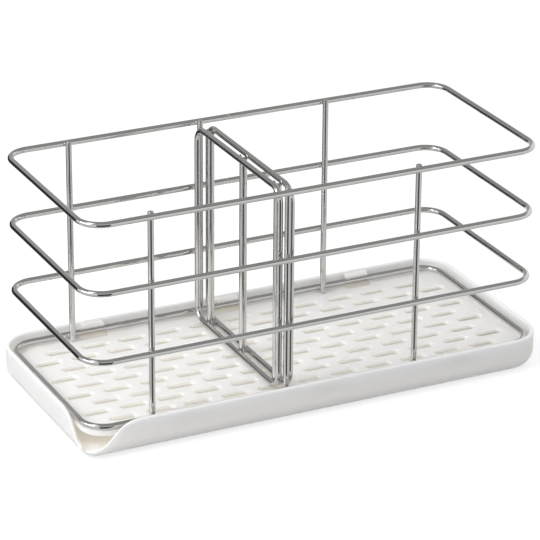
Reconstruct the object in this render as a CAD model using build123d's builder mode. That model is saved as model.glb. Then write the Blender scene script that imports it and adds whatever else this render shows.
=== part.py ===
from build123d import *
import math
import os

# Kitchen sink caddy: a stainless wire basket with a lift-out wire divider. A perforated drain
# plate is clipped under the basket, and the basket stands in a drip tray with a pouring spout.
# Everything is in millimetres. The origin is on the table under the middle of the tray,
# +X runs along the caddy, +Y points to its back and +Z points up.

# Wire and welds
wire_diameter = 3.0
weld_bite = 0.2
seam_width = 0.35
seam_depth = 0.12

# Basket: four hoops and six uprights
hoop_bend_radius = 11.7
base_hoop_height = 14.0
hoop_height_shares = (0, 0.3233, 0.6641, 1)
upright_place_shares = (-0.7166, -0.1354, 0.442)
upright_rise = 1.6

# Divider: two wire loops joined by three spacer rods
divider_height = 106.5
divider_bend_radius = 7.5
divider_front_gap = 1.85
divider_back_gap = 3.15
divider_foot_gap = 0.2
divider_rise = 1.3
slide_clearance = 0.05
spacer_rod_diameter = 3.8
spacer_rod_foot = 0.6
spacer_rod_head = 2.2
end_rod_inset = 9.0

# Drain plate
panel_thickness = 2.0
panel_drop = 1.2
ledge_thickness = 2.1
ledge_reach_in = 1.0
ledge_reach_out = 1.6
panel_inset = 1.0
ledge_round = 0.5
slot_length = 14.2
slot_width = 4.1
slot_pitch = 19.6
slot_row_pitch = 10.0
slot_end_margin = 3.5
slot_side_margin = 7.0
plate_foot_length = 8.0
plate_foot_width = 3.0
upright_foot_gap = 0.1

# Hooks that hold the base hoop down on the drain plate
hook_place_share = 0.617
hook_width = 12.2
hook_thickness = 1.25
hook_overhang = 2.45
hook_gap = 0.1
hook_tip_height = 0.8
hook_lead_in = 0.8
snap_hook_height = 2.1
fixed_hook_height = 0.9
core_hole_width = 14.8
core_hole_reach = 2.65
hook_frame_width = 3.0

# Drip tray, and the room from its outer faces to the basket's
tray_length = 250.6
tray_width = 114.8
tray_end_room = 3.8
tray_side_room = 3.75
tray_height = 17.7
tray_wall = 2.0
tray_floor = 2.4
tray_corner_radius = 17.7
spout_corner_radius = 8.0
tray_foot_radius = 7.4
rim_round = 0.9
tray_rest_gap = 0.3

# Pouring spout, cut across the tray's front left corner
spout_mouth_width = 29.8
spout_floor_width = 11.0
spout_lip_height = 4.3
spout_top_bend = 10.0
spout_bottom_bend = 8.0
overrun = 6.0

# Places that follow from the sizes above
basket_length = tray_length - 2 * tray_end_room
basket_width = tray_width - 2 * tray_side_room
wire_radius = wire_diameter / 2
weld_pitch = wire_diameter - weld_bite
hoop_half_length = basket_length / 2 - wire_radius
hoop_half_width = basket_width / 2 - wire_radius
hoop_underside = base_hoop_height - wire_radius
hoop_top = base_hoop_height + wire_radius
panel_top = hoop_underside - panel_drop
panel_underside = panel_top - panel_thickness
loop_bottom = panel_top + divider_foot_gap
hoop_rise = loop_bottom + divider_height - divider_rise - base_hoop_height
hoop_heights = [base_hoop_height + share * hoop_rise for share in hoop_height_shares]
upright_line = hoop_half_width - weld_pitch
upright_top = hoop_heights[-1] + upright_rise
divider_place = upright_place_shares[1] * basket_length / 2
loop_offset = wire_diameter + slide_clearance

os.makedirs("parts", exist_ok=True)


def finish(builder, label):
    """Name a finished piece, write it as its own STEP file and print its volume."""
    builder.part.label = label
    export_step(builder.part, f"parts/{label}.step")
    print(f"{label}: {builder.part.volume:.1f} cubic mm")


# Hoops: each is one wire bent to a rounded rectangle and butt-welded at the middle of its back run
hoop_names = ("base_hoop", "lower_hoop", "upper_hoop", "top_hoop")
for hoop_name, hoop_height in zip(hoop_names, hoop_heights):
    with BuildPart() as hoop:
        with BuildSketch(Plane.XY.offset(hoop_height), mode=Mode.PRIVATE) as hoop_outline:
            RectangleRounded(2 * hoop_half_length, 2 * hoop_half_width, hoop_bend_radius)
        hoop_run = hoop_outline.sketch.wire()
        with BuildSketch(Plane(hoop_run ^ 0)):
            Circle(wire_radius)
        sweep(path=hoop_run)
        seam_middle = (0, hoop_half_width, hoop_height)
        with BuildSketch(Plane(origin=seam_middle, z_dir=(1, 0, 0))):
            Circle(wire_radius + seam_depth)
            Circle(wire_radius - seam_depth, mode=Mode.SUBTRACT)
        extrude(amount=seam_width / 2, both=True, mode=Mode.SUBTRACT)
    finish(hoop, hoop_name)


# Uprights: straight wires welded to the inner side of every hoop, front and back alike
for row_name, row_side in (("front", -1), ("back", 1)):
    for column_name, place_share in zip(("left", "middle", "right"), upright_place_shares):
        upright_base = Plane.XY.offset(panel_top + upright_foot_gap)
        with BuildPart() as upright:
            with BuildSketch(upright_base):
                with Locations((place_share * basket_length / 2, row_side * upright_line)):
                    Circle(wire_radius)
            extrude(amount=upright_top - panel_top - upright_foot_gap)
        finish(upright, f"{row_name}_{column_name}_upright")


# Divider loops: two upright rectangles of wire that straddle the middle uprights
divider_room = basket_width - 2 * wire_diameter
divider_length = divider_room - divider_front_gap - divider_back_gap
loop_half_length = divider_length / 2 - wire_radius
loop_half_height = divider_height / 2 - wire_radius
divider_middle = (divider_front_gap - divider_back_gap) / 2
loop_centre_height = loop_bottom + divider_height / 2

for loop_name, loop_side in (("left_divider_loop", -1), ("right_divider_loop", 1)):
    loop_place = divider_place + loop_side * loop_offset
    loop_middle = (loop_place, divider_middle, loop_centre_height)
    loop_plane = Plane(origin=loop_middle, x_dir=(0, 1, 0), z_dir=(1, 0, 0))
    with BuildPart() as divider_loop:
        with BuildSketch(loop_plane, mode=Mode.PRIVATE) as loop_outline:
            RectangleRounded(2 * loop_half_length, 2 * loop_half_height, divider_bend_radius)
        loop_run = loop_outline.sketch.wire()
        with BuildSketch(Plane(loop_run ^ 0)):
            Circle(wire_radius)
        sweep(path=loop_run)
        seam_middle = (loop_place, divider_middle - loop_half_length, loop_centre_height)
        with BuildSketch(Plane(origin=seam_middle, z_dir=(0, 0, 1))):
            Circle(wire_radius + seam_depth)
            Circle(wire_radius - seam_depth, mode=Mode.SUBTRACT)
        extrude(amount=seam_width / 2, both=True, mode=Mode.SUBTRACT)
    finish(divider_loop, loop_name)


# Spacer rods: welded between the loops, they keep the slot that slides over the uprights
end_rod_offset = loop_half_length - end_rod_inset
spacer_rod_length = divider_height - spacer_rod_foot - spacer_rod_head
for rod_name, rod_side in (("front", -1), ("middle", 0), ("back", 1)):
    with BuildPart() as spacer_rod:
        with BuildSketch(Plane.XY.offset(loop_bottom + spacer_rod_foot)):
            with Locations((divider_place, divider_middle + rod_side * end_rod_offset)):
                Circle(spacer_rod_diameter / 2)
        extrude(amount=spacer_rod_length)
    finish(spacer_rod, f"{rod_name}_spacer_rod")


# Drain plate: a slotted panel with a raised ledge that the base hoop sits on
ledge_inner_length = 2 * (hoop_half_length - ledge_reach_in)
ledge_inner_width = 2 * (hoop_half_width - ledge_reach_in)
ledge_outer_length = 2 * (hoop_half_length + ledge_reach_out)
ledge_outer_width = 2 * (hoop_half_width + ledge_reach_out)
ledge_outer_radius = hoop_bend_radius + ledge_reach_out
ledge_bottom = hoop_underside - ledge_thickness
hook_line = ledge_outer_width / 2
hook_outer = hook_line + hook_thickness
hook_places = (-hook_place_share * basket_length / 2, 0, hook_place_share * basket_length / 2)

long_row_space = ledge_inner_length - 2 * slot_end_margin - slot_length
long_row_slots = math.floor(long_row_space / slot_pitch) + 1
side_row_space = ledge_inner_width / 2 - slot_side_margin - slot_width / 2
rows_each_side = math.floor(side_row_space / slot_row_pitch)
foot_column = (long_row_slots - 2) / 2 * slot_pitch
foot_row = (rows_each_side - 1) * slot_row_pitch
foot_height = panel_underside - tray_floor - tray_rest_gap


def hook_profile(side, height):
    """Draw a hook's side view: its arm outside the hoop and its nose over the wire."""
    nose_under = hoop_top + hook_gap
    nose_over = nose_under + min(hook_tip_height, height - hook_gap)
    nose_tip = hook_line - hook_overhang
    Polygon(
        (side * hook_outer, ledge_bottom),
        (side * hook_outer, hoop_top + height),
        (side * (hook_line - hook_lead_in), hoop_top + height),
        (side * nose_tip, nose_over),
        (side * nose_tip, nose_under),
        (side * hook_line, nose_under),
        (side * hook_line, ledge_bottom),
        align=None,
    )


with BuildPart() as drain_plate:
    with BuildSketch(Plane.XY.offset(panel_underside)):
        RectangleRounded(
            ledge_outer_length - 2 * panel_inset,
            ledge_outer_width - 2 * panel_inset,
            ledge_outer_radius - panel_inset,
        )
    extrude(amount=panel_thickness)
    with BuildSketch(Plane.XY.offset(ledge_bottom)):
        RectangleRounded(ledge_outer_length, ledge_outer_width, ledge_outer_radius)
    extrude(amount=ledge_thickness)
    ledge_edges = drain_plate.edges().group_by(Axis.Z)[-1]
    fillet(ledge_edges, radius=ledge_round)
    with BuildSketch(Plane.XY.offset(panel_top)):
        RectangleRounded(
            ledge_inner_length, ledge_inner_width, hoop_bend_radius - ledge_reach_in
        )
    extrude(amount=ledge_thickness, mode=Mode.SUBTRACT)
    with BuildSketch(Plane.XY.offset(ledge_bottom)):
        for hook_side in (-1, 1):
            with Locations(*[(place, hook_side * hook_line) for place in hook_places]):
                Rectangle(core_hole_width + 2 * hook_frame_width, 2 * hook_thickness)
    extrude(amount=ledge_thickness)
    with BuildSketch(Plane.XY.offset(panel_underside)):
        core_middle = hook_line - (hook_overhang + core_hole_reach) / 2
        for hook_side in (-1, 1):
            with Locations(*[(place, hook_side * core_middle) for place in hook_places]):
                Rectangle(core_hole_width, hook_overhang + core_hole_reach)
    extrude(amount=panel_thickness + panel_drop + overrun, mode=Mode.SUBTRACT)
    for hook_place in hook_places:
        with BuildSketch(Plane.YZ.offset(hook_place)):
            hook_profile(1, snap_hook_height)
            hook_profile(-1, fixed_hook_height)
        extrude(amount=hook_width / 2, both=True)
    with BuildSketch(Plane.XY.offset(panel_underside)):
        for row in range(-rows_each_side, rows_each_side + 1):
            row_slots = long_row_slots - 1 if row % 2 == 0 else long_row_slots
            with Locations((0, row * slot_row_pitch)):
                with GridLocations(slot_pitch, 0, row_slots, 1):
                    SlotOverall(slot_length, slot_width)
    extrude(amount=panel_thickness, mode=Mode.SUBTRACT)
    with BuildSketch(Plane.XY.offset(panel_underside)):
        for foot_side in (-1, 1):
            with Locations((0, foot_side * foot_row)):
                with GridLocations(foot_column, 0, 3, 1):
                    Rectangle(plate_foot_width, plate_foot_length)
    extrude(amount=-foot_height)
finish(drain_plate, "drain_plate")


# Drip tray: a shallow basin with a round foot edge and a spout across its front left corner
inward = Vector(1, 1).normalized()
spout_corner = Vector(-tray_length / 2, -tray_width / 2)
spout_reach = spout_mouth_width / 2 + spout_top_bend
spout_half_cut = spout_reach + overrun
spout_line = spout_corner + inward * spout_reach
spout_plane = Plane(origin=spout_line, x_dir=(1, -1, 0), z_dir=(-1, -1, 0))


def tray_outline(inset):
    """Draw the tray's plan, drawn in by the inset, with its tighter spout corner."""
    corner_radius = tray_corner_radius - inset
    RectangleRounded(tray_length - 2 * inset, tray_width - 2 * inset, corner_radius)
    with Locations((inset - tray_length / 2, inset - tray_width / 2)):
        Rectangle(corner_radius, corner_radius, align=(Align.MIN, Align.MIN))
    spout_vertex = vertices().sort_by(lambda vertex: vertex.X + vertex.Y)[0]
    fillet(spout_vertex, radius=spout_corner_radius - inset)


with BuildPart() as drip_tray:
    with BuildSketch():
        tray_outline(0)
    extrude(amount=tray_height + overrun)
    fillet(drip_tray.edges().group_by(Axis.Z)[0], radius=tray_foot_radius)
    with BuildSketch(Plane.XY.offset(tray_floor)):
        tray_outline(tray_wall)
    extrude(amount=tray_height + overrun, mode=Mode.SUBTRACT)
    floor_face = drip_tray.faces().filter_by(Axis.Z).sort_by(Axis.Z)[1]
    fillet(floor_face.edges(), radius=tray_foot_radius - tray_wall)
    with BuildSketch(Plane.XY.offset(tray_height)):
        Rectangle(tray_length + overrun, tray_width + overrun)
        with Locations(spout_line - inward * tray_width / 2):
            Rectangle(tray_width, tray_width, rotation=45, mode=Mode.SUBTRACT)
    extrude(amount=2 * overrun, mode=Mode.SUBTRACT)
    with BuildSketch(spout_plane):
        with BuildLine():
            FilletPolyline(
                (-spout_half_cut, tray_height),
                (-spout_mouth_width / 2, tray_height),
                (-spout_floor_width / 2, spout_lip_height),
                (spout_floor_width / 2, spout_lip_height),
                (spout_mouth_width / 2, tray_height),
                (spout_half_cut, tray_height),
                radius=(spout_top_bend, spout_bottom_bend, spout_bottom_bend, spout_top_bend),
            )
            Polyline(
                (spout_half_cut, tray_height),
                (spout_half_cut, tray_height + 2 * overrun),
                (-spout_half_cut, tray_height + 2 * overrun),
                (-spout_half_cut, tray_height),
            )
        make_face()
    extrude(amount=spout_reach, mode=Mode.SUBTRACT)
    rim_faces = drip_tray.faces().filter_by(
        lambda face: face.center().Z > tray_floor
        and face.normal_at().Z > 0
        and math.isclose(face.normal_at().dot(inward), 0, abs_tol=1e-6)
    )
    rim_edges = rim_faces.edges().filter_by(Axis((0, 0, 0), inward), reverse=True)
    fillet(rim_edges, radius=rim_round)
finish(drip_tray, "drip_tray")
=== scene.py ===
# %% [markdown]
# # A kitchen sink caddy
# The caddy has three groups: a wire basket with a drain plate clipped under it, a wire divider
# that slides over two of the basket's uprights, and a white drip tray with a pouring spout. The
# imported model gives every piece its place, so this lesson starts from that frame, rebuilds each
# piece with finer surfaces in the same place, and then gives it a finish and a small studio.

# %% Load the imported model
import math

import bmesh
import bpy
from mathutils import Matrix, Vector, noise


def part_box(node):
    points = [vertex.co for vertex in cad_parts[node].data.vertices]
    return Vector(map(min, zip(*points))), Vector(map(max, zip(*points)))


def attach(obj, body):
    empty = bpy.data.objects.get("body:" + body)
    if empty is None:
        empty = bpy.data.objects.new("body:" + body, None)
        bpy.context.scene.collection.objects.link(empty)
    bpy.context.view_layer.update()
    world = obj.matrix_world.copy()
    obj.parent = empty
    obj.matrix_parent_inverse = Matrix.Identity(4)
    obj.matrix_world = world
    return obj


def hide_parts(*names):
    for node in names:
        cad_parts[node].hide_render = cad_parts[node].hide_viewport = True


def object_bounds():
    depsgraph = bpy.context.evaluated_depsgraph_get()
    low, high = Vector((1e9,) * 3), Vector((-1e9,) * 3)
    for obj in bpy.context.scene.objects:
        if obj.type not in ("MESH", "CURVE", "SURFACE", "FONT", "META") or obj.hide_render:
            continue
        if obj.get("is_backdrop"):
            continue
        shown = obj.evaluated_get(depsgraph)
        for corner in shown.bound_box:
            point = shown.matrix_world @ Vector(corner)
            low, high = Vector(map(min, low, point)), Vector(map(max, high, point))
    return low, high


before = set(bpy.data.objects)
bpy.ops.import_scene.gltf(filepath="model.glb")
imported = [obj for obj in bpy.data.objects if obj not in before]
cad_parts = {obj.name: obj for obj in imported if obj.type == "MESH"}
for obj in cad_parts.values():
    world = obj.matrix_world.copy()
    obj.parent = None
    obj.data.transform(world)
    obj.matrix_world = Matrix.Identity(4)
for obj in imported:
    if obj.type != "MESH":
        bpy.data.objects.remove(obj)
cad_low, cad_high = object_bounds()
scene = bpy.context.scene

# %% [markdown]
# ## Measures
# A maker works in millimetres, and Blender works in metres. All the numbers below are
# millimetres, and each mesh is scaled once, when it is finished. The places come from the packed
# model's own boxes, so the new pieces can't drift away from it.

# %% Read the places of the wires
MM = 0.001


def span(node):
    """Give a node's lowest and highest corner in millimetres."""
    low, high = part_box(node)
    return low / MM, high / MM


def middle(node):
    """Give the middle of a node's box in millimetres."""
    low, high = span(node)
    return (low + high) / 2


HOOPS = ("base_hoop", "lower_hoop", "upper_hoop", "top_hoop")
ROWS, COLUMNS = ("front", "back"), ("left", "middle", "right")
UPRIGHTS = [f"{row}_{column}_upright" for row in ROWS for column in COLUMNS]
LOOPS = ("left_divider_loop", "right_divider_loop")
RODS = ("front_spacer_rod", "middle_spacer_rod", "back_spacer_rod")

hoop_low, hoop_high = span("top_hoop")
wire_radius = (hoop_high.z - hoop_low.z) / 2
hoop_reach = (hoop_high - hoop_low) / 2 - Vector((wire_radius,) * 3)
print(f"wire {2 * wire_radius:.2f} mm, hoop runs {hoop_reach.x:.2f} and {hoop_reach.y:.2f} mm out")

# %% [markdown]
# ## Shader sums
# A finish is a web of small nodes. Written one by one they are hard to read, so two helpers turn
# them into plain Python. `Amount` is one number of the shader, and its operators add Math nodes.
# `Recipe` owns the node tree and makes every other node: first its settings, then its sockets.


# %% Write shader maths as Python
class Amount:
    """One number of a shader, worked out afresh at every point of a surface."""

    def __init__(self, recipe, socket):
        self.recipe = recipe
        self.socket = socket

    def combine(self, operation, first, second):
        return self.recipe.node("Math", {"operation": operation}, {0: first, 1: second})

    def __add__(self, other):
        return self.combine("ADD", self, other)

    def __mul__(self, other):
        return self.combine("MULTIPLY", self, other)

    __radd__ = __add__
    __rmul__ = __mul__


class Recipe:
    """The node tree of one material or of the world."""

    def __init__(self, owner):
        owner.use_nodes = True
        self.tree = owner.node_tree
        self.tree.nodes.clear()

    def node(self, kind, settings=None, sockets=None, output=0):
        """Add a node, set it up, fill its sockets and give back one of its outputs."""
        made = self.tree.nodes.new("ShaderNode" + kind)
        for name, value in (settings or {}).items():
            if name == "stops":
                ramp = made.color_ramp.elements
                while len(ramp) < len(value):
                    ramp.new(1.0)
                for element, (place, colour) in zip(ramp, value):
                    element.position = place
                    element.color = (*colour, 1.0)
            else:
                setattr(made, name, value)
        for name, value in (sockets or {}).items():
            if isinstance(value, Amount):
                self.tree.links.new(value.socket, made.inputs[name])
            else:
                made.inputs[name].default_value = value
        return Amount(self, made.outputs[output]) if made.outputs else None


print("shader helpers ready")

# %% [markdown]
# ## Polished stainless wire
# The wire is drawn, bent, spot-welded and electropolished. Polishing leaves it bright, with faint
# lines along its length from the drawing die and a slightly duller patch where each weld was
# heated. The wire meshes carry two helps for this: a map with the length along the wire and the
# way round it, so the lines can follow every bend, and a heat value. Heat is near 1 at a spot
# weld, and 5 in the groove of a butt weld, where the tint is full.

# %% Mix the steel finish
LINE_STRETCH = (90.0, 2600.0, 1.0)
STEEL_TINTS = (0.585, 0.582, 0.575, 1.0), (0.645, 0.641, 0.632, 1.0)
WELD_TINT = (0.12, 0.105, 0.09, 1.0)
DRAWN_RELIEF = 0.00001


def mixed(recipe, factor, first, second):
    """Blend two colours by a factor."""
    sockets = {"Factor": factor, 6: first, 7: second}
    return recipe.node("Mix", {"data_type": "RGBA"}, sockets, output=2)


def clouds(recipe, place, scale, detail=3.0, roughness=0.5):
    """Give soft noise between 0 and 1 over a set of coordinates."""
    sockets = {"Vector": place, "Scale": scale, "Detail": detail, "Roughness": roughness}
    return recipe.node("TexNoise", {}, sockets)


def make_steel():
    """Make the polished wire finish, with drawn lines and dull, warm weld spots."""
    material = bpy.data.materials.new("polished_steel_wire")
    recipe = Recipe(material)
    around = recipe.node("UVMap", {"uv_map": "along_and_around"})
    stretch = recipe.node("VectorMath", {"operation": "MULTIPLY"}, {0: around, 1: LINE_STRETCH})
    drawn = clouds(recipe, stretch, 1.0, detail=2.0)
    place = recipe.node("TexCoord", output=3)
    patches = clouds(recipe, place, 55.0)
    heat = recipe.node("Attribute", {"attribute_name": "heat"}, output=2)
    bright = mixed(recipe, patches, *STEEL_TINTS)
    colour = mixed(recipe, heat * 0.2, bright, WELD_TINT)
    roughness = 0.06 + patches * 0.04 + drawn * 0.02 + heat * 0.15
    sockets = {"Strength": 0.02, "Distance": DRAWN_RELIEF, "Height": drawn}
    relief = recipe.node("Bump", {}, sockets)
    shader = recipe.node("BsdfPrincipled", {}, {
        "Base Color": colour, "Metallic": 1.0, "Roughness": roughness, "Normal": relief,
    })
    recipe.node("OutputMaterial", {}, {"Surface": shader})
    return material


steel = make_steel()
print("steel nodes:", len(steel.node_tree.nodes))

# %% [markdown]
# ## White moulded plastic
# Both mouldings are white, a little warm. The drain plate is the glossier one, because its mould
# was polished, and it mirrors the uprights faintly. The tray has a softer gloss. Injection
# moulding leaves a very gentle waviness and a fine skin, so the roughness and the relief vary.
#
# Light passes through thin white plastic, so the wall of a slot or the foot of the tray's wall
# looks warm and bright, where a solid white would be grey. A real walk of light through the
# plastic needs far more samples than a render has. So the plastic scatters light over a few
# millimetres only, and the rest is painted light: the meshes carry a painted glow value, and the
# finish makes the plastic glow faintly warm there, though it is no lamp.

# %% Mix the plastic finishes
WHITE_TINTS = (0.970, 0.947, 0.905, 1.0), (0.978, 0.958, 0.922, 1.0)
# Painted light: the warm glow that slot walls, hooks and deep corners give off.
NO_GLOW, PAINTED_GLOW_TINT = (0.0, 0.0, 0.0, 1.0), (0.086, 0.078, 0.062, 1.0)
SKIN_RELIEF = 0.00005
SOAK_REACH = 0.006


def make_plastic(name, gloss, skin):
    """Make a white moulded finish with a roughness range, a relief strength and a painted warm
    glow.
    """
    material = bpy.data.materials.new(name)
    recipe = Recipe(material)
    place = recipe.node("TexCoord", output=3)
    flow = clouds(recipe, place, 22.0, detail=2.0)
    grain = clouds(recipe, place, 1400.0, detail=2.0)
    colour = mixed(recipe, flow, *WHITE_TINTS)
    low, high = gloss
    roughness = low + (high - low) * flow + 0.03 * grain
    relief = recipe.node("Bump", {}, {
        "Strength": skin, "Distance": SKIN_RELIEF, "Height": grain * 0.5 + flow * 4.0,
    })
    # The mesh's painted glow value mixes in a faint warm glow, painted light that stands in for
    # light passing through and bouncing.
    soak = recipe.node("Attribute", {"attribute_name": "soak"}, output=2)
    glow = mixed(recipe, soak, NO_GLOW, PAINTED_GLOW_TINT)
    shader = recipe.node("BsdfPrincipled", {}, {
        "Base Color": colour, "Roughness": roughness, "IOR": 1.49, "Normal": relief,
        "Emission Color": glow, "Emission Strength": 1.0,
        "Subsurface Weight": 0.8, "Subsurface Scale": SOAK_REACH,
        "Subsurface Radius": (1.0, 1.0, 1.0),
    })
    recipe.node("OutputMaterial", {}, {"Surface": shader})
    return material


plate_white = make_plastic("glossy_white_plate", (0.10, 0.16), 0.15)
tray_white = make_plastic("satin_white_tray", (0.26, 0.34), 0.25)
print("plastic finishes:", plate_white.name, tray_white.name)

# %% [markdown]
# ## Finishing a piece
# Every piece ends the same way: its mesh is scaled to metres, shaded smooth except at real
# edges, given its finish, and tied to the CAD body that carries it. One function does all that,
# so no piece can miss a step. Weighted normals keep large flat faces flat next to small rounds.


# %% Turn a mesh into a riding piece
def finish_piece(name, mesh, material, body, slot, nodes=(), sharp_angle=40.0):
    """Make the object, give it its finish and let it ride on a body in a node's place."""
    mesh.transform(Matrix.Scale(MM, 4))
    bmesh.ops.recalc_face_normals(mesh, faces=mesh.faces)
    for face in mesh.faces:
        face.smooth = True
    for edge in mesh.edges:
        if len(edge.link_faces) == 2:
            edge.smooth = edge.calc_face_angle(0.0) < math.radians(sharp_angle)
    data = bpy.data.meshes.new(name)
    mesh.to_mesh(data)
    mesh.free()
    data.materials.append(material)
    piece = bpy.data.objects.new(name, data)
    scene.collection.objects.link(piece)
    weighted = piece.modifiers.new("flat_faces_stay_flat", "WEIGHTED_NORMAL")
    weighted.keep_sharp = True
    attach(piece, body)
    if nodes:
        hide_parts(*nodes)
    print(f"{name}: {len(data.polygons)} faces on {body}")
    return piece


# %% [markdown]
# ## Bending the wire
# A hoop is one wire bent to a rounded rectangle and butt-welded where its ends meet. It could be
# a curve with a bevel, but a ring of points swept along the path gives control of the weld seam,
# of the fine steps in each bend and of the map that the drawn lines need. The butt weld is a
# shallow groove between two slight swells. The straight uprights are swept in the same way, and
# their cut ends get a small chamfer.

# %% Lay out a bent path
BEND_STEPS = 20
HOOP_BEND, LOOP_BEND = 11.7, 7.5
# The butt weld's stations, as (offset along the wire, wire size share).
SEAM = ((-1.2, 1.0), (-0.55, 1.02), (-0.42, 1.0), (-0.3, 0.92),
        (0.3, 0.92), (0.42, 1.0), (0.55, 1.02), (1.2, 1.0))
GROOVE_START, GROOVE_END = 2, 6


def rounded_path(half_along, half_across, bend):
    """List stations of a rounded rectangle as (along, across, heading, wire size share)."""
    stations = []
    for offset, size in SEAM:
        stations.append((offset, half_across, 0.0, size))
    corners = (
        (half_along - bend, half_across - bend, 90.0),
        (half_along - bend, bend - half_across, 0.0),
        (bend - half_along, bend - half_across, -90.0),
        (bend - half_along, half_across - bend, -180.0),
    )
    for centre_along, centre_across, start in corners:
        for step in range(BEND_STEPS + 1):
            turn = math.radians(start - 90.0 * step / BEND_STEPS)
            along = centre_along + bend * math.cos(turn)
            across = centre_across + bend * math.sin(turn)
            stations.append((along, across, turn - math.pi / 2, 1.0))
    return stations


hoop_path = rounded_path(hoop_reach.x, hoop_reach.y, HOOP_BEND)
print("stations in a hoop:", len(hoop_path))


# %% Sweep the wire along a path
WIRE_SIDES = 32
STRAIGHT_SPANS = 6
HEAT_REACH = 5.0
SEAM_HEAT = 5.0


def skin_rings(mesh, rings, lengths, closed):
    """Join rings of vertices with faces and map them by length and way round."""
    uv_layer = mesh.loops.layers.uv.new("along_and_around")
    sides = len(rings[0])
    total = len(rings)
    for station in range(total if closed else total - 1):
        ring, following = rings[station], rings[(station + 1) % total]
        ahead = lengths[station + 1]
        for side in range(sides):
            beside = (side + 1) % sides
            face = mesh.faces.new((ring[side], ring[beside], following[beside], following[side]))
            step = 2 * math.pi * wire_radius / sides
            here = lengths[station]
            marks = ((here, side), (here, side + 1), (ahead, side + 1), (ahead, side))
            for loop, (length, place) in zip(face.loops, marks):
                loop[uv_layer].uv = (length * MM, place * step * MM)


def mark_heat(mesh, welds):
    """Store how close each vertex is to a spot weld: 1 at the weld and 0 out of its reach."""
    layer = mesh.verts.layers.float.new("heat")
    for vertex in mesh.verts:
        nearest = min((vertex.co - weld).length for weld in welds)
        vertex[layer] = max(0.0, 1.0 - nearest / HEAT_REACH) ** 2
    return layer


def sweep_bent_wire(path, place, radius, welds):
    """Make a closed bent wire. Place turns (along, across, out of plane) into the frame."""
    mesh = bmesh.new()
    rings, lengths, travelled = [], [0.0], 0.0
    points = [place @ Vector((along, across, 0.0)) for along, across, _, _ in path]
    for index, (along, across, heading, size) in enumerate(path):
        outward = Vector((-math.sin(heading), math.cos(heading), 0.0))
        ring = []
        for side in range(WIRE_SIDES):
            turn = 2 * math.pi * side / WIRE_SIDES
            spoke = outward * math.cos(turn) + Vector((0.0, 0.0, math.sin(turn)))
            where = Vector((along, across, 0.0)) + spoke * radius * size
            ring.append(mesh.verts.new(place @ where))
        rings.append(ring)
        travelled += (points[(index + 1) % len(points)] - points[index]).length
        lengths.append(travelled)
    skin_rings(mesh, rings, lengths, closed=True)
    layer = mark_heat(mesh, welds)
    mesh.verts.ensure_lookup_table()
    for vertex in mesh.verts[GROOVE_START * WIRE_SIDES:GROOVE_END * WIRE_SIDES]:
        vertex[layer] = SEAM_HEAT
    return mesh


def sweep_straight_wire(foot, top, radius, welds, chamfer=0.25):
    """Make a straight upright wire with a chamfered cut at each end."""
    mesh = bmesh.new()
    height = top - foot.z
    cuts = ((0.0, radius - chamfer), (chamfer, radius))
    spans = [height * step / STRAIGHT_SPANS for step in range(1, STRAIGHT_SPANS)]
    profile = [*cuts, *((rise, radius) for rise in spans)]
    profile += [(height - rise, size) for rise, size in reversed(cuts)]
    rings = []
    for rise, size in profile:
        ring = []
        for side in range(WIRE_SIDES):
            turn = 2 * math.pi * side / WIRE_SIDES
            spoke = Vector((math.cos(turn), math.sin(turn), 0.0)) * size
            ring.append(mesh.verts.new(foot + spoke + Vector((0.0, 0.0, rise))))
        rings.append(ring)
    skin_rings(mesh, rings, [rise for rise, _ in profile], closed=False)
    for ring in (rings[0], rings[-1]):
        mesh.faces.new(ring)
    mark_heat(mesh, welds)
    return mesh


print("sides round the wire:", WIRE_SIDES)

# %% [markdown]
# ## Where the wires are welded
# Two crossing wires are pressed together while a current melts their touching sides. The metal
# that squeezes out freezes as a small uneven bead in the crease between them. Each bead here is
# a flattened ball, pushed about by noise that gives the same result each run.

# %% Find every weld
hoop_welds = {}
for hoop in HOOPS:
    height = middle(hoop).z
    hoop_welds[hoop] = []
    for upright in UPRIGHTS:
        where = middle(upright)
        crease = (where.y + math.copysign(hoop_reach.y, where.y)) / 2
        hoop_welds[hoop].append(Vector((where.x, crease, height)))
upright_welds = [weld for welds in hoop_welds.values() for weld in welds]

loop_welds = {loop: [] for loop in LOOPS}
for loop in LOOPS:
    loop_low, loop_high = span(loop)
    for rod in RODS:
        crease = (middle(loop).x + middle(rod).x) / 2
        for height in (loop_low.z + wire_radius, loop_high.z - wire_radius):
            loop_welds[loop].append(Vector((crease, middle(rod).y, height)))
rod_welds = [weld for welds in loop_welds.values() for weld in welds]
print("basket welds:", len(upright_welds), "divider welds:", len(rod_welds))


# %% Make the weld beads
HOOP_BEAD, LOOP_BEAD = (1.75, 0.55, 1.35), (0.5, 1.7, 1.5)
BEAD_SWELL, BEAD_GRAIN, BEAD_HEAT = 0.16, 1.7, 0.8


def add_bead(mesh, where, reach):
    """Add one uneven bead round a point, with its half sizes along x, y and z."""
    made = bmesh.ops.create_icosphere(mesh, subdivisions=3, radius=1.0)
    for vertex in made["verts"]:
        swell = 1.0 + BEAD_SWELL * noise.noise(vertex.co * BEAD_GRAIN + where)
        vertex.co = where + Vector(swell * size * place for size, place in zip(reach, vertex.co))


def make_beads(name, welds, reach, body):
    """Make all the weld beads of one wire as one piece."""
    mesh = bmesh.new()
    for weld in welds:
        add_bead(mesh, weld, reach)
    layer = mesh.verts.layers.float.new("heat")
    for vertex in mesh.verts:
        vertex[layer] = BEAD_HEAT
    mesh.loops.layers.uv.new("along_and_around")
    return finish_piece(name, mesh, steel, body, "steel_wire")


for hoop, welds in hoop_welds.items():
    make_beads(f"{hoop}_welds", welds, HOOP_BEAD, "basket")
for loop, welds in loop_welds.items():
    make_beads(f"{loop}_welds", welds, LOOP_BEAD, "divider")

# %% [markdown]
# ## The basket's wires
# Four hoops carry six uprights. A hoop lies flat, so its path is used as it is and only lifted
# to its height. The uprights stand on the inner side of the hoops, reach a little above the top
# one and end just over the drain plate.

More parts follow.
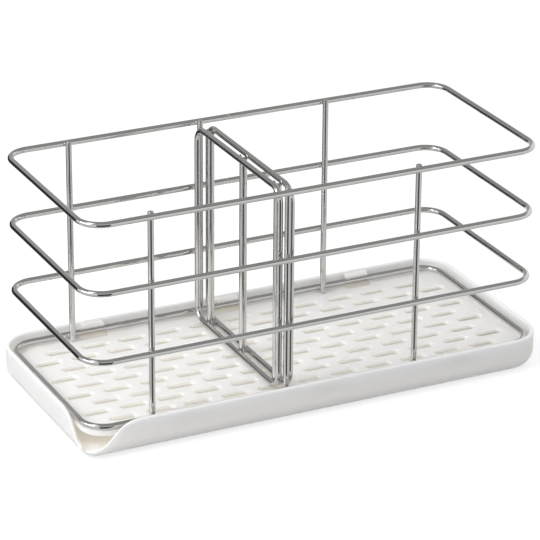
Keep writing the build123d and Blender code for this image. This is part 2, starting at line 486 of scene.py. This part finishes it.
# %% Make the hoops and uprights
for hoop in HOOPS:
    lift = Matrix.Translation((0.0, 0.0, middle(hoop).z))
    mesh = sweep_bent_wire(hoop_path, lift, wire_radius, hoop_welds[hoop])
    finish_piece(f"{hoop}_wire", mesh, steel, "basket", "steel_wire", [hoop])

for upright in UPRIGHTS:
    low, high = span(upright)
    foot = Vector((middle(upright).x, middle(upright).y, low.z))
    mesh = sweep_straight_wire(foot, high.z, wire_radius, upright_welds)
    finish_piece(f"{upright}_wire", mesh, steel, "basket", "steel_wire", [upright])

# %% [markdown]
# ## The divider
# Two upright loops stand side by side, with three thicker rods welded between them. The rods
# keep a slot open, and the slot slides over the basket's middle uprights. A loop is bent like a
# hoop, with tighter corners, and stands on edge: its long way runs up, and its seam faces front.

# %% Make the loops and spacer rods
ROD_CHAMFER = 0.45
for loop in LOOPS:
    low, high = span(loop)
    half_height = (high.z - low.z) / 2 - wire_radius
    half_depth = (high.y - low.y) / 2 - wire_radius
    path = rounded_path(half_height, half_depth, LOOP_BEND)
    centre = middle(loop)
    stand = Matrix.Translation(centre) @ Matrix((
        (0.0, 0.0, 1.0, 0.0),
        (0.0, -1.0, 0.0, 0.0),
        (1.0, 0.0, 0.0, 0.0),
        (0.0, 0.0, 0.0, 1.0),
    ))
    mesh = sweep_bent_wire(path, stand, wire_radius, loop_welds[loop])
    finish_piece(f"{loop}_wire", mesh, steel, "divider", "steel_wire", [loop])

for rod in RODS:
    low, high = span(rod)
    foot = Vector((middle(rod).x, middle(rod).y, low.z))
    mesh = sweep_straight_wire(foot, high.z, (high.x - low.x) / 2, rod_welds, ROD_CHAMFER)
    finish_piece(f"{rod}_wire", mesh, steel, "divider", "steel_wire", [rod])

# %% [markdown]
# ## Bands round an outline
# Both mouldings have a rim that runs once round a rounded rectangle. The outline is a list of
# points with their outward directions. A band is a grid: one row for each step of the rim's
# section, drawn in from the outline, and one column for each point of the outline.


# %% Walk round an outline
LEAST_ROUND_STEPS, STEPS_PER_MM = 8, 1.6


def walk_outline(half_length, half_width, corners, marks=()):
    """List (x, y, outward x, outward y) once round the outline.

    Corners are radii from the front right one on, anticlockwise. Marks are extra (side, distance)
    stations, for places along a side that need finer steps."""
    turns = ((1, -1, -90.0), (1, 1, 0.0), (-1, 1, 90.0), (-1, -1, 180.0))
    stations = []
    for index, ((side_x, side_y, start), radius) in enumerate(zip(turns, corners)):
        centre = Vector((side_x * (half_length - radius), side_y * (half_width - radius)))
        steps = max(LEAST_ROUND_STEPS, round(radius * STEPS_PER_MM))
        for step in range(steps + 1):
            turn = math.radians(start + 90.0 * step / steps)
            out = Vector((math.cos(turn), math.sin(turn)))
            stations.append((*(centre + out * radius), *out))
        here = Vector(stations[-1][:2])
        out = Vector(stations[-1][2:])
        ahead = Vector((-out.y, out.x))
        side_x, side_y, _ = turns[(index + 1) % 4]
        radius = corners[(index + 1) % 4]
        centre = Vector((side_x * (half_length - radius), side_y * (half_width - radius)))
        length = (centre + out * radius - here).dot(ahead)
        stops = [distance for side, distance in marks if side == index and 0 < distance < length]
        for distance in stops:
            stations.append((*(here + ahead * distance), *out))
    return stations


def grid_faces(mesh, rows):
    """Join rows of vertices that run once round into faces."""
    for lower, upper in zip(rows, rows[1:]):
        count = len(lower)
        for index in range(count):
            following = (index + 1) % count
            mesh.faces.new((lower[index], lower[following], upper[following], upper[index]))


def fill_flat(mesh, loops):
    """Fill the first loop of vertices with a flat face, leaving the other loops as holes."""
    edges = []
    for ring in loops:
        for index, vertex in enumerate(ring):
            following = ring[(index + 1) % len(ring)]
            edges.append(mesh.edges.get((vertex, following)) or mesh.edges.new((vertex, following)))
    bmesh.ops.triangle_fill(mesh, use_beauty=True, use_dissolve=False, edges=edges)


def arc(centre_inset, centre_height, radius, start, end, steps=5):
    """List (inset, height) points of an arc, with its angles in degrees."""
    points = []
    for step in range(steps + 1):
        turn = math.radians(start + (end - start) * step / steps)
        inset = centre_inset + radius * math.cos(turn)
        points.append((inset, centre_height + radius * math.sin(turn)))
    return points


print("outline helpers ready")

# %% [markdown]
# ## The drain plate
# The plate is one glossy moulding. A flat panel has nine rows of round-ended slots, and a raised
# ledge round it carries the base hoop. Three snap hooks at the back and three fixed hooks at the
# front reach over the wire, and each stands behind a square core hole that lets it be moulded.
# The slots' upper edges have a wide round, which catches the light, so it is real geometry and
# not a texture. Their lower edges are nearly sharp.

# %% Lay out the panel and its slots
PANEL_DROP, PANEL_THICKNESS, LEDGE_THICKNESS = 1.2, 2.0, 2.1
LEDGE_REACH, LEDGE_CORNER = 1.6, 13.3
plate_low, plate_high = span("drain_plate")
base_height = middle("base_hoop").z
hoop_under = base_height - wire_radius
panel_top = hoop_under - PANEL_DROP
panel_under = panel_top - PANEL_THICKNESS
ledge_under = hoop_under - LEDGE_THICKNESS
ledge_half = (hoop_reach.x + LEDGE_REACH, hoop_reach.y + LEDGE_REACH)

SLOT_LENGTH, SLOT_WIDTH, SLOT_ROUND, SLOT_UNDER_ROUND = 13.4, 3.8, 1.0, 0.25
SLOT_PITCH, SLOT_ROW_PITCH = 19.6, 10.0
ROWS_EACH_WAY, SLOTS_IN_EVEN_ROW = 4, 11
slot_places = []
for row in range(-ROWS_EACH_WAY, ROWS_EACH_WAY + 1):
    count = SLOTS_IN_EVEN_ROW + row % 2
    for index in range(count):
        slot_places.append(Vector(((index - (count - 1) / 2) * SLOT_PITCH, row * SLOT_ROW_PITCH)))
print("slots:", len(slot_places), "panel top:", round(panel_top, 2))


# %% Mould the panel and its ledge
SMALL_ROUND, LEDGE_ROUND, INNER_ROUND, SKIRT_ROUND = 0.3, 0.5, 0.35, 0.15
SKIRT_INSET, WALL_INSET, UNDER_INSET, INNER_INSET = 1.0, 2.9, 1.3, 2.25


def slot_ring(mesh, centre, grow, height, steps=12):
    """Add the points of one round-ended slot, grown by an amount, at a height."""
    radius = SLOT_WIDTH / 2 + grow
    reach = (SLOT_LENGTH - SLOT_WIDTH) / 2
    ring = []
    for side, start in ((1, -90.0), (-1, 90.0)):
        for step in range(steps + 1):
            turn = math.radians(start + 180.0 * step / steps)
            x = centre.x + side * reach + radius * math.cos(turn)
            y = centre.y + radius * math.sin(turn)
            ring.append(mesh.verts.new((x, y, height)))
    return ring


def make_panel():
    """Make the slotted panel with its ledge as one closed mesh."""
    mesh = bmesh.new()
    outline = walk_outline(*ledge_half, (LEDGE_CORNER,) * 4)
    section = [
        *arc(UNDER_INSET, panel_under + SMALL_ROUND, SMALL_ROUND, 270, 180, steps=3),
        (SKIRT_INSET, ledge_under),
        *arc(SKIRT_ROUND, ledge_under + SKIRT_ROUND, SKIRT_ROUND, 270, 180, steps=2),
        *arc(LEDGE_ROUND, hoop_under - LEDGE_ROUND, LEDGE_ROUND, 180, 90),
        *arc(INNER_INSET, hoop_under - INNER_ROUND, INNER_ROUND, 90, 0, steps=4),
        *arc(WALL_INSET, panel_top + SMALL_ROUND, SMALL_ROUND, 180, 270, steps=3),
    ]
    rows = []
    for inset, height in section:
        ring = [(x - nx * inset, y - ny * inset, height) for x, y, nx, ny in outline]
        rows.append([mesh.verts.new(place) for place in ring])
    grid_faces(mesh, rows)
    wall = [(0.0, panel_under + SLOT_UNDER_ROUND)]
    over = arc(SLOT_ROUND, panel_top - SLOT_ROUND, -SLOT_ROUND, -90, 0, steps=5)
    under = [(0.07, panel_under + 0.07), (SLOT_UNDER_ROUND, panel_under)]
    top_loops, under_loops = [rows[-1]], [rows[0]]
    for centre in slot_places:
        rings = [slot_ring(mesh, centre, grow, height) for grow, height in [*over, *wall, *under]]
        grid_faces(mesh, rings)
        top_loops.append(rings[0])
        under_loops.append(rings[-1])
    fill_flat(mesh, top_loops)
    fill_flat(mesh, under_loops)
    return mesh


panel_mesh = make_panel()
print("panel faces:", len(panel_mesh.faces))
print("open edges:", sum(1 for edge in panel_mesh.edges if len(edge.link_faces) != 2))

# %% [markdown]
# ## Hooks, frames, feet and core holes
# A hook is a bent finger: it rises outside the hoop and its nose reaches in over the wire. Each
# one is drawn as a side view, pushed out to its width and softened with a bevel. Boolean joins
# then merge the parts into the one moulding that the plate really is.


# %% Draw a block and a hook
def add_prism(mesh, outline, half_width, middle_x, soften):
    """Add a shape drawn in side view, pushed out both ways along x, with softened edges."""
    ends = []
    for side in (-1, 1):
        ends.append([mesh.verts.new((middle_x + side * half_width, y, z)) for y, z in outline])
    faces = [mesh.faces.new(ends[0]), mesh.faces.new(ends[1])]
    count = len(outline)
    for index in range(count):
        following = (index + 1) % count
        near, far = ends
        faces.append(mesh.faces.new((near[index], near[following], far[following], far[index])))
    bmesh.ops.recalc_face_normals(mesh, faces=faces)
    edges = list({edge for face in faces for edge in face.edges})
    if soften:
        rounds = {"offset": soften, "segments": 3, "profile": 0.5, "affect": "EDGES"}
        bmesh.ops.bevel(mesh, geom=edges, **rounds)


def block(side, near, far, low, high):
    """List the side view of a block from its near and far distance and its heights."""
    return [(side * near, low), (side * far, low), (side * far, high), (side * near, high)]


HOOK_PLACES, FOOT_PLACES = (-74.97, 0.0, 74.97), (-98.0, 0.0, 98.0)
HOOK_HALF, FRAME_HALF, CORE_HALF, FOOT_HALF = 6.1, 10.4, 7.4, 1.5
FRAME_DEPTH, CORE_DEPTH, CORE_OVERRUN = 1.4, 5.1, 1
FOOT_NEAR, FOOT_FAR, FOOT_OVERLAP, FOOT_SOFTEN = 26.0, 34.0, 0.5, 0.4
FRONT_HOOK_RISE, NOSE_PLAY, NOSE_THICKNESS, NOSE_REACH, ARM_FOOT = 0.9, 0.1, 0.8, 2.45, 0.7
OUTER_PLAY, EDGE_SOFTEN = 0.04, 0.3
hook_line = ledge_half[1]
hook_outer = plate_high.y
hoop_top = base_height + wire_radius
hook_tops = {1: plate_high.z, -1: hoop_top + FRONT_HOOK_RISE}


def hook_outline(side):
    """List the side view of a hook: its arm outside the hoop and its nose over the wire."""
    top = hook_tops[side]
    under = hoop_top + NOSE_PLAY
    tip = hook_line - NOSE_REACH
    points = [
        (hook_outer - OUTER_PLAY, ledge_under + ARM_FOOT),
        (hook_outer - OUTER_PLAY, top),
        (hook_line - NOSE_THICKNESS, top),
        (tip, min(top, under + NOSE_THICKNESS)),
        (tip, under),
        (hook_line, under),
        (hook_line, ledge_under + ARM_FOOT),
    ]
    return [(side * y, z) for y, z in points]


frames_mesh, cores_mesh, hooks_mesh = bmesh.new(), bmesh.new(), bmesh.new()
core_low, core_high = panel_under - CORE_OVERRUN, hoop_under + CORE_OVERRUN
for side in (-1, 1):
    frame_side = block(side, hook_line - FRAME_DEPTH, hook_outer, ledge_under, hoop_under)
    core_side = block(side, hook_line - CORE_DEPTH, hook_line, core_low, core_high)
    for place in HOOK_PLACES:
        add_prism(frames_mesh, frame_side, FRAME_HALF, place, EDGE_SOFTEN)
        add_prism(cores_mesh, core_side, CORE_HALF, place, 0)
        add_prism(hooks_mesh, hook_outline(side), HOOK_HALF, place, EDGE_SOFTEN)
for side in (-1, 1):
    foot_side = block(side, FOOT_NEAR, FOOT_FAR, plate_low.z, panel_under + FOOT_OVERLAP)
    for place in FOOT_PLACES:
        add_prism(frames_mesh, foot_side, FOOT_HALF, place, FOOT_SOFTEN)
print("hook and frame faces:", len(frames_mesh.faces) + len(hooks_mesh.faces))


# %% Merge them into one moulding
# Painted glow on the plate: its level on the hooks, the depth over which it grows below the panel's
# top, and where the hooks begin.
HOOK_PAINTED_GLOW, PAINTED_GLOW_DEPTH, HOOK_START = 0.6, 1.3, 0.5


def as_object(name, mesh):
    """Make a bare helper object from a mesh."""
    data = bpy.data.meshes.new(name)
    bmesh.ops.recalc_face_normals(mesh, faces=mesh.faces)
    mesh.to_mesh(data)
    mesh.free()
    helper = bpy.data.objects.new(name, data)
    scene.collection.objects.link(helper)
    return helper


def merge(base, steps):
    """Join or cut helper objects one after another and give back the result as a mesh."""
    for helper, operation in steps:
        boolean = base.modifiers.new(helper.name, "BOOLEAN")
        boolean.operation = operation
        boolean.object = helper
        boolean.solver = "EXACT"
    drawn = bpy.context.evaluated_depsgraph_get()
    merged = bmesh.new()
    joined = base.evaluated_get(drawn)
    merged.from_mesh(joined.to_mesh())
    joined.to_mesh_clear()
    for helper in [base, *(helper for helper, _ in steps)]:
        data = helper.data
        bpy.data.objects.remove(helper)
        bpy.data.meshes.remove(data)
    return merged


plate_mesh = merge(as_object("panel_blank", panel_mesh), [
    (as_object("frame_blank", frames_mesh), "UNION"),
    (as_object("core_pins", cores_mesh), "DIFFERENCE"),
    (as_object("hook_blank", hooks_mesh), "UNION"),
])
print("open edges after merging:", sum(1 for edge in plate_mesh.edges if len(edge.link_faces) != 2))
# Painted light: the hooks glow evenly, and the slot walls and the underside glow more the deeper
# they lie below the panel's top.
painted_glow_layer = plate_mesh.verts.layers.float.new("soak")
for vertex in plate_mesh.verts:
    on_hook = vertex.co.z > hoop_under + HOOK_START
    depth = (panel_top - vertex.co.z) / PAINTED_GLOW_DEPTH
    vertex[painted_glow_layer] = HOOK_PAINTED_GLOW if on_hook else min(1.0, max(0.0, depth))
plate_carrier = ("basket", "plate_plastic", ["drain_plate"])
finish_piece("slotted_drain_plate", plate_mesh, plate_white, *plate_carrier)

# %% [markdown]
# ## The drip tray
# The tray is a shallow basin with a big round where the walls meet the underside, a soft rim and
# a spout across its front left corner. The rim's height depends on the distance from the
# spout's middle line, so the same height rule shapes both the outer and the inner edge of the
# rim. The section is worked out at each point of the outline and then skinned as a grid. The
# inner surface carries painted light: a faint warm glow that grows the deeper it lies, and most at
# the left, next to the lamp.

# %% Set the rim's height near the spout
tray_low, tray_high = span("drip_tray")
tray_half = ((tray_high.x - tray_low.x) / 2, (tray_high.y - tray_low.y) / 2)
RIM_HEIGHT = tray_high.z
FOOT_ROUND, WALL, FLOOR, LIP_HEIGHT = 7.4, 2.0, 2.4, 4.3
LIP_HALF, MOUTH_HALF, LIP_BEND, MOUTH_BEND = 5.5, 14.9, 8.0, 10.0
SPOUT_REACH = 60
slope = math.atan2(RIM_HEIGHT - LIP_HEIGHT, MOUTH_HALF - LIP_HALF)
lip_end = LIP_HALF - LIP_BEND * math.tan(slope / 2)
mouth_end = MOUTH_HALF + MOUTH_BEND * math.tan(slope / 2)
slope_start = lip_end + LIP_BEND * math.sin(slope)
slope_end = mouth_end - MOUTH_BEND * math.sin(slope)


def rim_height(x, y):
    """Give the rim's height at a place, from its distance to the spout's middle line."""
    off_line = abs((x + tray_half[0]) - (y + tray_half[1])) / math.sqrt(2)
    beyond_spout = x + y > -tray_half[0] - tray_half[1] + SPOUT_REACH
    if beyond_spout or off_line >= mouth_end:
        return RIM_HEIGHT
    if off_line <= lip_end:
        return LIP_HEIGHT
    if off_line < slope_start:
        return LIP_HEIGHT + LIP_BEND - math.sqrt(LIP_BEND**2 - (off_line - lip_end) ** 2)
    if off_line > slope_end:
        return RIM_HEIGHT - MOUTH_BEND + math.sqrt(MOUTH_BEND**2 - (mouth_end - off_line) ** 2)
    start_height = LIP_HEIGHT + LIP_BEND * (1 - math.cos(slope))
    return start_height + (off_line - slope_start) * math.tan(slope)


print(f"the spout's curve ends {mouth_end:.1f} mm from its middle line")


# %% Work out the tray's section at one place
def wall_inset(height, inner):
    """Give how far the outer or inner surface stands in from the outline at a height."""
    base = FLOOR if inner else 0.0
    start = WALL if inner else 0.0
    radius = FOOT_ROUND - start
    rise = base + radius - height
    if rise <= 0:
        return start
    return start + radius - math.sqrt(max(0.0, radius**2 - rise**2))


def rim_point(x, y, nx, ny, inner):
    """Find where the rim's height rule meets the outer or inner surface."""
    low, high = (FLOOR if inner else 0.0), RIM_HEIGHT
    for _ in range(40):
        height = (low + high) / 2
        inset = wall_inset(height, inner)
        if rim_height(x - nx * inset, y - ny * inset) > height:
            low = height
        else:
            high = height
    return wall_inset(high, inner), high


def surface_run(top_height, inner, steps):
    """List points of a surface from its foot to a height, evenly spaced along it."""
    base = FLOOR if inner else 0.0
    start = WALL if inner else 0.0
    radius = FOOT_ROUND - start
    bend_height = min(top_height, base + radius)
    bend_turn = math.acos(max(-1.0, min(1.0, (base + radius - bend_height) / radius)))
    bend_length = radius * bend_turn
    total = bend_length + max(0.0, top_height - base - radius)
    points = []
    for step in range(steps + 1):
        length = total * step / steps
        if length <= bend_length:
            turn = length / radius
            inset = start + radius - radius * math.sin(turn)
            points.append((inset, base + radius - radius * math.cos(turn)))
        else:
            points.append((start, base + radius + length - bend_length))
    return points


RIM_SOFT, LEAST_WALL = 0.9, 0.3
OUTER_STEPS, INNER_STEPS = 18, 16
CIRCLE_HANDLE = 0.5523


def soft_corner(before, corner, after, steps=6):
    """Round a corner between two points with a smooth curve."""
    points = []
    first = before + (corner - before) * CIRCLE_HANDLE
    second = after + (corner - after) * CIRCLE_HANDLE
    for step in range(steps + 1):
        share = step / steps
        rest = 1 - share
        bend = before * rest**3 + first * 3 * rest**2 * share + second * 3 * rest * share**2
        points.append(bend + after * share**3)
    return [tuple(point) for point in points]


def tray_section(x, y, nx, ny):
    """List (inset, height) from the underside, up, over the rim and down to the floor."""
    outer_top = Vector(rim_point(x, y, nx, ny, inner=False))
    inner_top = Vector(rim_point(x, y, nx, ny, inner=True))
    across = (inner_top - outer_top).normalized()
    soft = min(RIM_SOFT, (inner_top - outer_top).length * 0.45)
    outer_run = surface_run(outer_top.y - RIM_SOFT, False, OUTER_STEPS)
    inner_run = surface_run(max(FLOOR + LEAST_WALL, inner_top.y - RIM_SOFT), True, INNER_STEPS)
    return [
        *outer_run[:-1],
        *soft_corner(Vector(outer_run[-1]), outer_top, outer_top + across * soft),
        *soft_corner(inner_top - across * soft, inner_top, Vector(inner_run[-1])),
        *reversed(inner_run[:-1]),
    ]


sample = tray_section(0.0, -tray_half[1], 0.0, -1.0)
print("points in a section:", len(sample))


# %% Skin the tray
TRAY_CORNER, SPOUT_CORNER = 17.7, 8.0
LEFT_SIDE, FRONT_SIDE = 2, 3
FINE_STEP, FINE_END, FRONT_SPANS = 0.6, 36.0, 8
# Painted glow on the tray's inner surface: its start below the rim, the depth over which it grows,
# its level at the middle and its tilt towards the left lamp.
PAINTED_GLOW_START, PAINTED_GLOW_FALL, PAINTED_GLOW_MIDDLE, PAINTED_LAMP_SIDE_TILT = 0.6, 4.0, 0.6, 0.4


def make_tray():
    """Make the tray as one closed mesh."""
    mesh = bmesh.new()
    fine = [step * FINE_STEP for step in range(1, 60)]
    length, width = (2 * half - TRAY_CORNER - SPOUT_CORNER for half in tray_half)
    marks = [(LEFT_SIDE, width - distance) for distance in reversed(fine)]
    marks += [(FRONT_SIDE, distance) for distance in fine]
    for step in range(1, FRONT_SPANS):
        marks.append((FRONT_SIDE, FINE_END + step * (length - FINE_END) / FRONT_SPANS))
    outline = walk_outline(*tray_half, (TRAY_CORNER,) * 3 + (SPOUT_CORNER,), marks)
    columns = []
    layer = mesh.verts.layers.float.new("soak")
    for x, y, nx, ny in outline:
        column = []
        for inset, height in tray_section(x, y, nx, ny):
            column.append(mesh.verts.new((x - nx * inset, y - ny * inset, height)))
        # Painted light: the inner surface glows more the deeper it lies and the nearer it is to the
        # left lamp.
        for vertex in column[-INNER_STEPS:]:
            depth = (RIM_HEIGHT - PAINTED_GLOW_START - vertex.co.z) / PAINTED_GLOW_FALL
            lamp_side_glow = PAINTED_GLOW_MIDDLE - PAINTED_LAMP_SIDE_TILT * x / tray_half[0]
            vertex[layer] = min(1.0, max(0.0, depth)) * lamp_side_glow
        columns.append(column)
    rows = [list(row) for row in zip(*columns)]
    grid_faces(mesh, rows)
    fill_flat(mesh, [rows[0]])
    fill_flat(mesh, [rows[-1]])
    return mesh


tray_mesh = make_tray()
print("open edges:", sum(1 for edge in tray_mesh.edges if len(edge.link_faces) != 2))
tray_carrier = ("tray", "tray_plastic", ["drip_tray"])
finish_piece("moulded_drip_tray", tray_mesh, tray_white, *tray_carrier, sharp_angle=60.0)

# %% [markdown]
# ## The studio floor
# The photograph was taken on white. A white floor under a lamp never comes out quite white, and
# more light would spoil the object. So the floor and the world use Light Path: rays from the
# camera, and mirror rays from metal, see white, and all other rays see the plain level that
# lights the object. Part of the floor stays an ordinary surface, which keeps the soft shadow.
# Mirror rays pass through the floor, because the boards of the next step go on below it.

# %% Make the floor and the world
COOL_WHITE = (0.985, 0.99, 1.0)
FLOOR_BOUNCE = (0.62, 0.62, 0.63, 1.0)
PURE_WHITE = (1.0, 1.0, 1.0, 1.0)


def seen_directly(recipe):
    """Give 1 for rays from the camera, mirror rays and rays through glass, otherwise 0."""
    camera = recipe.node("LightPath", output=0)
    mirror = recipe.node("LightPath", output="Is Glossy Ray")
    through = recipe.node("LightPath", output="Is Transmission Ray")
    settings = {"operation": "ADD", "use_clamp": True}
    return recipe.node("Math", settings, {0: camera + mirror, 1: through})


def make_world(ambient):
    """Make a world that shows white and lights the object at a plain level."""
    world = bpy.data.worlds.new("white_studio")
    recipe = Recipe(world)
    direct = seen_directly(recipe)
    strength = ambient + (1.0 - ambient) * direct
    tint = mixed(recipe, direct, (*COOL_WHITE, 1.0), PURE_WHITE)
    light = recipe.node("Background", {}, {"Color": tint, "Strength": strength})
    recipe.node("OutputWorld", {}, {"Surface": light})
    scene.world = world


def make_floor(half_size, glow, albedo):
    """Make a floor that shows white and keeps a soft shadow."""
    mesh = bmesh.new()
    bmesh.ops.create_grid(mesh, x_segments=4, y_segments=4, size=half_size)
    data = bpy.data.meshes.new("studio_floor")
    mesh.to_mesh(data)
    mesh.free()
    material = bpy.data.materials.new("white_studio_floor")
    recipe = Recipe(material)
    direct = seen_directly(recipe)
    bounce = recipe.node("BsdfDiffuse", {}, {"Color": FLOOR_BOUNCE})
    shadowed = recipe.node("BsdfDiffuse", {}, {"Color": (albedo, albedo, albedo, 1.0)})
    white = recipe.node("Emission", {}, {"Color": PURE_WHITE, "Strength": glow})
    shown = recipe.node("AddShader", {}, {0: shadowed, 1: white})
    surface = recipe.node("MixShader", {}, {0: direct, 1: bounce, 2: shown})
    recipe.node("OutputMaterial", {}, {"Surface": surface})
    data.materials.append(material)
    floor = bpy.data.objects.new("studio_floor", data)
    floor.location = (0.0, 0.0, -0.0002)
    floor.visible_glossy = False
    scene.collection.objects.link(floor)
    floor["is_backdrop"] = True


make_world(ambient=0.66)
make_floor(half_size=6.0, glow=0.72, albedo=0.34)
print("floor and world ready")

# %% [markdown]
# ## Lamps and flags
# Three soft lamps light the caddy. A large one at the left lights the tray's left side and the
# tops, a weak one high at the right fills, and a small one above gives the soft shadows of the
# wires a clearer edge. Polished wire shows nothing but its surroundings, and on pure white it
# would vanish, so photographers stand dark and grey boards, called flags, round a bright object.
# The flags here are seen by mirror rays only. They give the wires their dark lines, and neither
# shade the object nor show in a view. Some reach below the floor, for the wires' undersides.

# %% Place the lamps
def place_lamp(name, where, target, size, power):
    """Add a square soft lamp that points at a place."""
    data = bpy.data.lights.new(name, "AREA")
    data.size = size
    data.energy = power
    data.color = COOL_WHITE
    lamp = bpy.data.objects.new(name, data)
    lamp.location = where
    lamp.rotation_mode = "QUATERNION"
    lamp.rotation_quaternion = (Vector(target) - Vector(where)).to_track_quat("-Z", "Y")
    lamp.visible_camera = False
    scene.collection.objects.link(lamp)
    print(f"{name}: {power} W over {size} m")


place_lamp("left_softbox", (-0.95, -0.05, 0.78), (0.0, 0.0, 0.05), 0.9, 9.8)
place_lamp("right_overhead_softbox", (0.6, 0.0, 1.1), (0.05, 0.0, 0.05), 0.9, 1.7)
place_lamp("left_spot_softbox", (-0.45, -0.05, 0.70), (0.0, 0.0, 0.02), 0.26, 0.45)


# %% Stand the flags
FLAG_STEPS = 24


def place_flag(name, rows, azimuths, shade):
    """Stand a curved board round the object.

    Rows are its (distance, height) lines, and azimuths its two ends in degrees, with 0 to the
    front and 90 to the right."""
    mesh = bmesh.new()
    start, end = azimuths
    grid = []
    for distance, height in rows:
        line = []
        for step in range(FLAG_STEPS + 1):
            turn = math.radians(start + (end - start) * step / FLAG_STEPS)
            x, y = distance * math.sin(turn), -distance * math.cos(turn)
            line.append(mesh.verts.new((x, y, height)))
        grid.append(line)
    for lower, upper in zip(grid, grid[1:]):
        for index in range(FLAG_STEPS):
            mesh.faces.new((lower[index], lower[index + 1], upper[index + 1], upper[index]))
    data = bpy.data.meshes.new(name)
    mesh.to_mesh(data)
    mesh.free()
    material = bpy.data.materials.new(f"{name}_board")
    recipe = Recipe(material)
    glow = recipe.node("Emission", {}, {"Color": PURE_WHITE, "Strength": shade})
    recipe.node("OutputMaterial", {}, {"Surface": glow})
    data.materials.append(material)
    flag = bpy.data.objects.new(name, data)
    scene.collection.objects.link(flag)
    for ray in ("camera", "diffuse", "transmission", "volume_scatter", "shadow"):
        setattr(flag, f"visible_{ray}", False)
    flag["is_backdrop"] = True


place_flag("ceiling_flag", [(0.9, 0.62), (0.45, 0.85), (0.02, 0.9)], (0, 360), 0.35)
place_flag("right_front_flag", [(0.9, 0.38), (0.9, 0.62)], (14, 75), 0.26)
place_flag("back_flag", [(0.9, 0.0), (0.9, 0.62)], (136, 235), 0.46)
place_flag("back_left_flag", [(0.6, -0.45), (0.6, 0.27)], (188, 235), 0.04)
place_flag("camera_flag", [(0.85, -0.90), (0.85, 0.34)], (-44, 11), 0.08)
place_flag("left_low_flag", [(0.7, -0.55), (0.7, -0.06)], (-160, -48), 0.72)
place_flag("floor_flag", [(0.9, -0.01), (0.9, -0.95)], (0, 360), 0.80)
place_flag("under_flag", [(0.9, -0.95), (0.45, -1.1), (0.02, -1.2)], (0, 360), 0.60)
print("flags stand")

# %% [markdown]
# ## The camera
# The camera stands in front, 26 degrees to the left and 23 degrees up, with a long lens. Its place
# was worked out from the hoops and the tray's outline, so the render can be laid over the
# photograph.

# %% Place the camera
CAMERA_PLACE = (-0.59149, -1.19917, 0.63356)
camera_data = bpy.data.cameras.new("product_camera")
camera_data.sensor_width = 36.0
camera_data.lens = 196.45
camera_data.clip_start = 0.05
camera_data.clip_end = 30.0
camera = bpy.data.objects.new("product_camera", camera_data)
right = Vector((0.898629, -0.438645, 0.007530))
up = Vector((0.168367, 0.360671, 0.917371))
back = Vector((-0.405116, -0.823108, 0.397963))
turned = Matrix((right, up, back)).transposed().to_4x4()
camera.matrix_world = Matrix.Translation(CAMERA_PLACE) @ turned
scene.collection.objects.link(camera)
scene.camera = camera
scene.view_settings.view_transform = "Standard"
print("camera:", tuple(round(value, 3) for value in camera.location))

# %% [markdown]
# ## Sizes
# The new pieces must fill the same space as the imported model, so both boxes are printed
# side by side.

# %% Write the sizes and finish
seen_low, seen_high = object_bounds()
boxes = {
    "cad_box": [list(cad_low), list(cad_high)],
    "visual_box": [list(seen_low), list(seen_high)],
}
for name, corners in boxes.items():
    print(name, [[round(value / MM, 2) for value in corner] for corner in corners])
